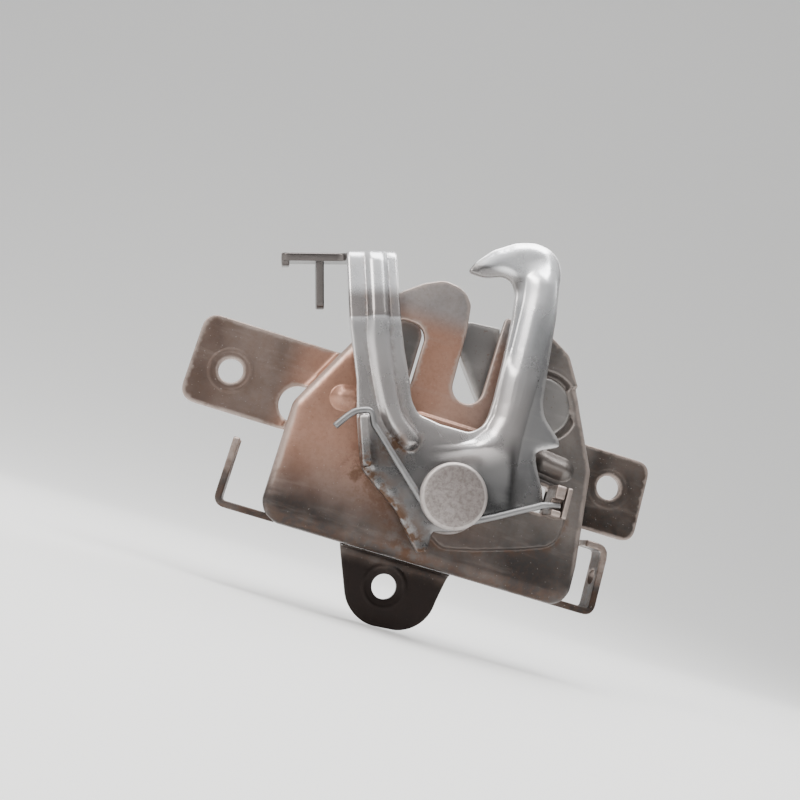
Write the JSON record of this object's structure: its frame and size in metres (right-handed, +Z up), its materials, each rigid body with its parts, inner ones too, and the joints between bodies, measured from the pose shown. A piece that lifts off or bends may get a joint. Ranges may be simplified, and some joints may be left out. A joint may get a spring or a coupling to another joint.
{
  "type": "bonnet latch",
  "caption": "Stamped bonnet latch with a striker slot, a catch claw and pawl behind the plate, and a sprung safety hook lever in front.",
  "frame": {"origin": "midway between the two upper mounting holes, on the mounting plane (the back faces of the ears)", "axes": "+Z up as fitted, the striker slot opens upward; +Y back through the mounting plane, the hook side faces -Y; +X to the right seen from the front"},
  "size_m": [0.1454, 0.052, 0.1213],
  "materials": {
    "base_steel": "satin",
    "lever_steel": "satin",
    "claw_steel": "satin",
    "rivet_steel": "matte",
    "spring_steel": "satin"
  },
  "bodies": {
    "base": {"base_plate": "base_steel", "base_walls": "base_steel", "lever_rivet": "rivet_steel", "lever_washer": "rivet_steel", "lever_spring": "spring_steel", "claw_rivet": "rivet_steel", "claw_washer": "rivet_steel", "claw_spring": "spring_steel", "pawl_rivet": "rivet_steel", "pawl_washer": "rivet_steel", "pawl_spring": "spring_steel"},
    "lever": {"safety_lever": "lever_steel"},
    "claw": {"claw": "claw_steel"},
    "pawl": {"pawl": "claw_steel"}
  },
  "joints": [
    {"name": "lever_swing", "type": "hinge", "parent": "base", "child": "lever", "pos_m": [0.01, -0.0205, -0.019], "axis": [0, 1, 0], "range_deg": [0, 18.5], "stiffness_Nm_per_rad": 0.35, "springref_deg": -34.38, "deforming": ["lever_spring"]},
    {"name": "claw_turn", "type": "hinge", "parent": "base", "child": "claw", "pos_m": [0.0305, -0.009, 0.0153], "axis": [0, 1, 0], "range_deg": [-60, 0], "stiffness_Nm_per_rad": 0.1, "springref_deg": 34.38, "deforming": ["claw_spring"]},
    {"name": "pawl_turn", "type": "hinge", "parent": "base", "child": "pawl", "pos_m": [-0.015, -0.009, 0.001], "axis": [0, 1, 0], "range_deg": [-7, 0], "deforming": ["pawl_spring"]}
  ]
}
